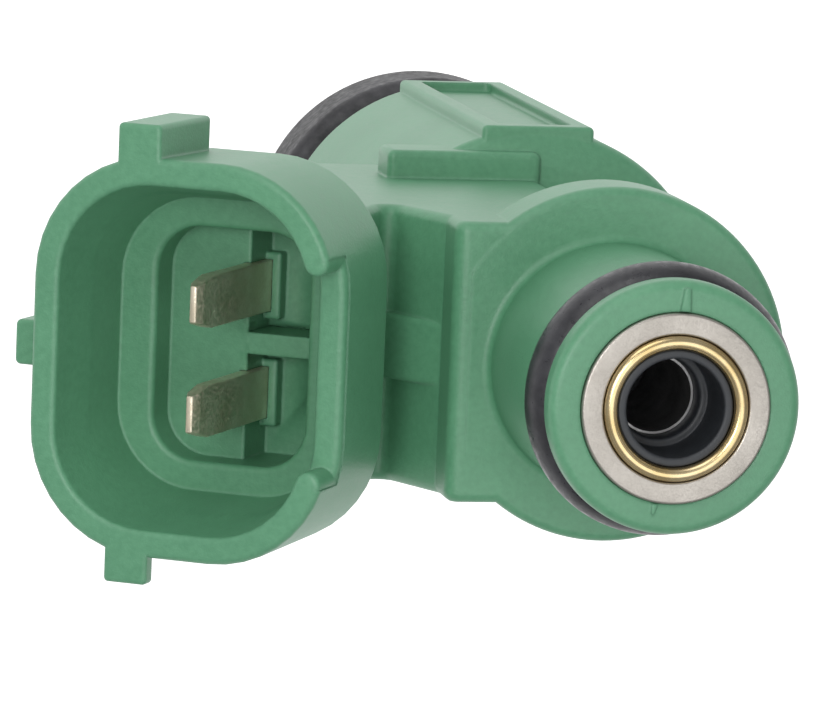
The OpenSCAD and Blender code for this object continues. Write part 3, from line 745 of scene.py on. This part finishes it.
def new_material(name, **shader):
    """A material with its surface shader; the rest are sockets' values."""
    material = bpy.data.materials.new(name)
    material.use_nodes = True
    tree = material.node_tree
    surface = tree.nodes["Principled BSDF"]
    for key, value in shader.items():
        surface.inputs[key.replace("_", " ")].default_value = value
    return material, tree, surface


def moulded_plastic(name, shades, grain, rough, depth, edge, ior=1.55):
    """Satin moulded plastic: fine spark-eroded grain, slow drifts of shade and a painted highlight along its
    edges.
    """
    material, tree, surface = new_material(name, IOR=ior)
    place = add(tree, "ShaderNodeTexCoord").outputs["Object"]
    drift = add(tree, "ShaderNodeTexNoise", {"Vector": place, "Scale": per_mm(6),
                                             "Detail": 4.0}).outputs["Fac"]
    fleck = add(tree, "ShaderNodeTexNoise", {"Vector": place, "Scale": per_mm(grain * 2.5), "Detail": 3.0})
    fine = add(tree, "ShaderNodeTexNoise", {"Vector": place, "Scale": per_mm(grain),
                                            "Detail": 2.0}).outputs["Fac"]
    blend = add(tree, "ShaderNodeMath", {0: drift, 1: fleck.outputs["Fac"]}, operation="ADD").outputs[0]
    tone = add(tree, "ShaderNodeMapRange", {"Value": blend, "From Min": 0.7,
                                            "From Max": 1.3}).outputs["Result"]
    shade = add(tree, "ShaderNodeMix", {"Factor": tone, "A": linear(shades[0]), "B": linear(shades[1])},
                data_type="RGBA")
    soft = add(tree, "ShaderNodeBevel", {"Radius": edge * MM}, samples=6).outputs["Normal"]
    plain = add(tree, "ShaderNodeNewGeometry").outputs["Normal"]
    # Painted highlight: the colour turns to the third, paler shade along the edges, where the bevelled normal
    # leaves the true normal
    match = add(tree, "ShaderNodeVectorMath", {0: soft, 1: plain}, operation="DOT_PRODUCT").outputs["Value"]
    painted_edge_highlight = add(tree, "ShaderNodeMapRange", {"Value": match, "From Min": 0.995, "From Max": 0.86,
                                            "To Max": 0.3})
    colour = add(tree, "ShaderNodeMix", {"Factor": painted_edge_highlight.outputs["Result"], "A": shade.outputs["Result"],
                                         "B": linear(shades[2])}, data_type="RGBA").outputs["Result"]
    gloss = add(tree, "ShaderNodeMapRange", {"Value": fleck.outputs["Fac"], "To Min": rough - 0.07,
                                             "To Max": rough + 0.09}).outputs["Result"]
    bump = add(tree, "ShaderNodeBump", {"Height": fine, "Distance": depth * MM, "Strength": 1.0,
                                        "Normal": soft})
    tree.links.new(colour, surface.inputs["Base Color"])
    tree.links.new(gloss, surface.inputs["Roughness"])
    tree.links.new(bump.outputs["Normal"], surface.inputs["Normal"])
    return material


def moulded_rubber(name, shades, rough, dust):
    """Black rubber: dull skin with paler dusty patches and small pits."""
    material, tree, surface = new_material(name, IOR=1.52)
    place = add(tree, "ShaderNodeTexCoord").outputs["Object"]
    cloud = add(tree, "ShaderNodeTexNoise", {"Vector": place, "Scale": per_mm(3), "Detail": 6.0,
                                             "Roughness": 0.65})
    pits = add(tree, "ShaderNodeTexNoise", {"Vector": place, "Scale": per_mm(0.35),
                                            "Detail": 4.0}).outputs["Fac"]
    dusty = add(tree, "ShaderNodeMapRange", {"Value": cloud.outputs["Fac"], "From Min": 0.4, "From Max": 0.75,
                                             "To Max": dust}).outputs["Result"]
    colour = add(tree, "ShaderNodeMix", {"Factor": dusty, "A": linear(shades[0]), "B": linear(shades[1])},
                 data_type="RGBA").outputs["Result"]
    gloss = add(tree, "ShaderNodeMapRange", {"Value": pits, "From Min": 0.3, "From Max": 0.7,
                                             "To Min": rough - 0.1, "To Max": rough + 0.15}).outputs["Result"]
    bump = add(tree, "ShaderNodeBump", {"Height": pits, "Distance": 0.02 * MM, "Strength": 1.0})
    tree.links.new(colour, surface.inputs["Base Color"])
    tree.links.new(gloss, surface.inputs["Roughness"])
    tree.links.new(bump.outputs["Normal"], surface.inputs["Normal"])
    return material


def worked_metal(name, shades, rough, grain, stretch, turned_marks=0.0):
    """Metal with a grain of tool marks: rings about the axis where it was turned, or streaks one way."""
    material, tree, surface = new_material(name, Metallic=1.0)
    place = add(tree, "ShaderNodeTexCoord").outputs["Object"]
    mapped = add(tree, "ShaderNodeMapping", {"Vector": place, "Scale": stretch}).outputs["Vector"]
    if turned_marks:
        flat = add(tree, "ShaderNodeVectorMath", {0: place, 1: (1, 1, 0)},
                   operation="MULTIPLY").outputs["Vector"]
        radius = add(tree, "ShaderNodeVectorMath", {0: flat}, operation="LENGTH").outputs["Value"]
        height = add(tree, "ShaderNodeSeparateXYZ", {"Vector": place}).outputs["Z"]
        mapped = add(tree, "ShaderNodeCombineXYZ", {"X": radius, "Y": height}).outputs["Vector"]
    marks = add(tree, "ShaderNodeTexNoise", {"Vector": mapped, "Scale": per_mm(grain),
                                             "Detail": 3.0}).outputs["Fac"]
    stain = add(tree, "ShaderNodeTexNoise", {"Vector": place, "Scale": per_mm(1.8),
                                             "Detail": 5.0}).outputs["Fac"]
    tone = add(tree, "ShaderNodeMapRange", {"Value": stain, "From Min": 0.35,
                                            "From Max": 0.7}).outputs["Result"]
    colour = add(tree, "ShaderNodeMix", {"Factor": tone, "A": linear(shades[0]), "B": linear(shades[1])},
                 data_type="RGBA").outputs["Result"]
    gloss = add(tree, "ShaderNodeMapRange", {"Value": marks, "From Min": 0.3, "From Max": 0.7,
                                             "To Min": rough * 0.75, "To Max": rough * 1.3}).outputs["Result"]
    bump = add(tree, "ShaderNodeBump", {"Height": marks, "Distance": 0.004 * MM, "Strength": 1.0})
    tree.links.new(colour, surface.inputs["Base Color"])
    tree.links.new(gloss, surface.inputs["Roughness"])
    tree.links.new(bump.outputs["Normal"], surface.inputs["Normal"])
    return material


EVEN = (1, 1, 1)
ALONG_AXIS = (1, 1, 0.06)

# Soft satin green with a painted highlight along its edges, and a fine even grain
GREEN_PBT = moulded_plastic("green_pbt_moulded", ("#518a68", "#5c9673", "#86b79a"), 0.12, 0.42, 0.012, 0.22)
# Dull blue-black, which keeps the inside of the filter dark
BLACK_NYLON = moulded_plastic("black_nylon_moulded", ("#24272b", "#2f3338", "#4a4e54"),
                              0.15, 0.5, 0.01, 0.12)
# Warm cream, faintly cloudy
NATURAL_NYLON = moulded_plastic("natural_nylon_moulded", ("#d8d0b8", "#e2dcc8", "#f0ecdf"),
                                0.2, 0.4, 0.01, 0.12)
# Smooth near-black with a soft sheen along the top of its round
SEAL_RUBBER = moulded_rubber("fluoro_rubber_moulded", ("#1d1d21", "#5c5c62"), 0.34, 0.35)
# Flat charcoal with paler dusty patches
RING_RUBBER = moulded_rubber("nitrile_rubber_dull", ("#232326", "#6a696e"), 0.55, 0.5)
# Pale even satin, without rings
FACED_STEEL = worked_metal("stainless_steel_faced", ("#a5a099", "#b2ada6"), 0.42, 0.06, EVEN)
# Brighter steel with fine rings about the axis
TURNED_STEEL = worked_metal("stainless_steel_turned", ("#b9b6b1", "#cbc8c3"), 0.28, 0.08, EVEN, 1)
# Grey plating with faint streaks along the axis
DRAWN_STEEL = worked_metal("zinc_plated_steel_drawn", ("#a9aaa8", "#bfc0bd"), 0.36, 0.1, ALONG_AXIS)
# Near-mirror grey
CHROME_STEEL = worked_metal("hard_chrome_plated", ("#b9b9b9", "#cccccc"), 0.16, 0.1, EVEN, 1)
# The brightest and smoothest of the steels
GROUND_STEEL = worked_metal("bearing_steel_ground", ("#bdbdbc", "#cfcfce"), 0.14, 0.05, EVEN, 1)
# Darker grey wire
SPRING_STEEL = worked_metal("spring_wire_drawn", ("#9a9a9d", "#aeaeb1"), 0.3, 0.08, EVEN)
# Dull grey that reads as fine gauze
WOVEN_STEEL = worked_metal("stainless_gauze_woven", ("#8c8c8c", "#b0b0b0"), 0.4, 0.09, EVEN)
# Even satin, a little darker than the turned steel
SLEEVE_STEEL = worked_metal("austenitic_sleeve_satin", ("#b5b5b4", "#c4c4c3"), 0.3, 0.08, EVEN, 1)
# Pale yellow with a narrow bright line round its lip
BRASS = worked_metal("brass_polished", ("#c6ae7c", "#dccba4"), 0.24, 0.06, EVEN, 1)
# Dull cream-grey, mottled, so that the blades take up the green round them
TINNED_BRONZE = worked_metal("tinned_bronze_stamped", ("#d6ccb6", "#ebe3d2"), 0.5, 0.14, EVEN)
# Deep red-brown with a gloss on each turn of wire
ENAMELLED_COPPER = worked_metal("copper_wire_enamelled", ("#8a3f1d", "#a5552a"), 0.25, 0.1, EVEN)


# ---------------------------------------------------------------- pieces in place

PIECES = [
    (make_moulded_body, GREEN_PBT, "resin_body", "green_resin"),
    (make_rail_flange, GREEN_PBT, "inlet_flange", "green_resin"),
    (make_rail_seal, SEAL_RUBBER, "inlet_o_ring", "rail_seal_rubber"),
    (make_inlet_tube, FACED_STEEL, "core_tube", "machined_steel"),
    (make_filter_collar, BRASS, "filter_collar", "polished_brass"),
    (make_filter_basket, BLACK_NYLON, "filter_frame", "black_nylon"),
    (make_insulator, RING_RUBBER, "insulator_ring", "ring_rubber"),
    (make_nozzle_cap, BLACK_NYLON, "tip_cap", "black_nylon"),
    (make_nozzle_body, TURNED_STEEL, "valve_body", "machined_steel"),
    (make_coil_housing, DRAWN_STEEL, "magnet_housing", "drawn_steel"),
    (make_wound_coil, ENAMELLED_COPPER, "coil_winding", "enamelled_copper"),
]
for make, finish, node, slot in PIECES:
    settle(make(), finish, "injector", [node])
for side, node in ((-1, "terminal_upper"), (1, "terminal_lower")):
    settle(as_object(blade(side), node.replace("terminal", "blade")), TINNED_BRONZE, "injector", [node])

KEPT = {
    "filter_mesh": WOVEN_STEEL, "adjusting_tube": TURNED_STEEL, "return_spring": SPRING_STEEL,
    "armature": CHROME_STEEL, "valve_needle": GROUND_STEEL, "valve_ball": GROUND_STEEL,
    "needle_stop": GROUND_STEEL, "bobbin": NATURAL_NYLON, "bobbin_seal_upper": SEAL_RUBBER,
    "bobbin_seal_lower": SEAL_RUBBER, "pole_washer": DRAWN_STEEL, "gap_sleeve": SLEEVE_STEEL,
    "nozzle_seat": GROUND_STEEL, "orifice_plate": SLEEVE_STEEL, "orifice_retainer": TURNED_STEEL,
}
for node, finish in KEPT.items():
    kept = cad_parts[node]
    kept.data.materials.clear()
    kept.data.materials.append(finish)


# ---------------------------------------------------------------- floor, light and camera

def make_floor():
    mesh = bmesh.new()
    bmesh.ops.create_grid(mesh, x_segments=1, y_segments=1, size=4000)
    bmesh.ops.translate(mesh, verts=mesh.verts, vec=(0, 0, -150))
    floor = as_object(mesh, "floor")
    paper, tree, surface = new_material("white_card", Roughness=0.9, Emission_Strength=0.65)
    place = add(tree, "ShaderNodeTexCoord").outputs["Object"]
    cloud = add(tree, "ShaderNodeTexNoise", {"Vector": place, "Scale": per_mm(60)}).outputs["Fac"]
    colour = add(tree, "ShaderNodeMix", {"Factor": cloud, "A": linear("#f6f6f6"), "B": linear("#fbfbfb")},
                 data_type="RGBA").outputs["Result"]
    tree.links.new(colour, surface.inputs["Base Color"])
    surface.inputs["Emission Color"].default_value = linear("#ffffff")
    floor.data.materials.append(paper)


def make_light(name, place, aim, size, power):
    data = bpy.data.lights.new(name, "AREA")
    data.shape = "DISK"
    data.size = size * MM
    data.energy = power
    light = bpy.data.objects.new(name, data)
    light.location = Vector(place) * MM
    light.rotation_euler = (Vector(aim) - Vector(place)).to_track_quat("-Z", "Y").to_euler()
    bpy.context.scene.collection.objects.link(light)


def make_world(strength):
    world = bpy.data.worlds.new("studio")
    bpy.context.scene.world = world
    world.use_nodes = True
    back = world.node_tree.nodes["Background"]
    back.inputs["Color"].default_value = linear("#ffffff")
    back.inputs["Strength"].default_value = strength


def make_camera():
    """The camera looks down on the inlet from the label's side, turned so that the connector is on the left."""
    place = Vector((58.564, -36.896, 315.09))
    aim = Vector((8.808, -0.023, 60))
    roll = math.radians(128.135)
    data = bpy.data.cameras.new("camera")
    data.sensor_width = 36
    data.lens = 265.03
    data.clip_start = 10 * MM
    data.clip_end = 10
    camera = bpy.data.objects.new("camera", data)
    back = (place - aim).normalized()
    level = Vector((0, 0, 1)).cross(back).normalized()
    upright = back.cross(level)
    right = math.cos(roll) * level + math.sin(roll) * upright
    up = back.cross(right)
    camera.matrix_world = Matrix.Translation(place * MM) @ Matrix((right, up, back)).transposed().to_4x4()
    bpy.context.scene.collection.objects.link(camera)
    bpy.context.scene.camera = camera


make_floor()
make_world(0.38)
make_light("key", (120, -330, 260), (8, 0, 55), 260, 0.36)
make_light("fill", (-60, 60, 420), (8, 0, 55), 300, 0.36)
make_light("front", (150, -60, 380), (8, 0, 55), 140, 0.5)
make_camera()
bpy.context.scene.view_settings.view_transform = "Standard"
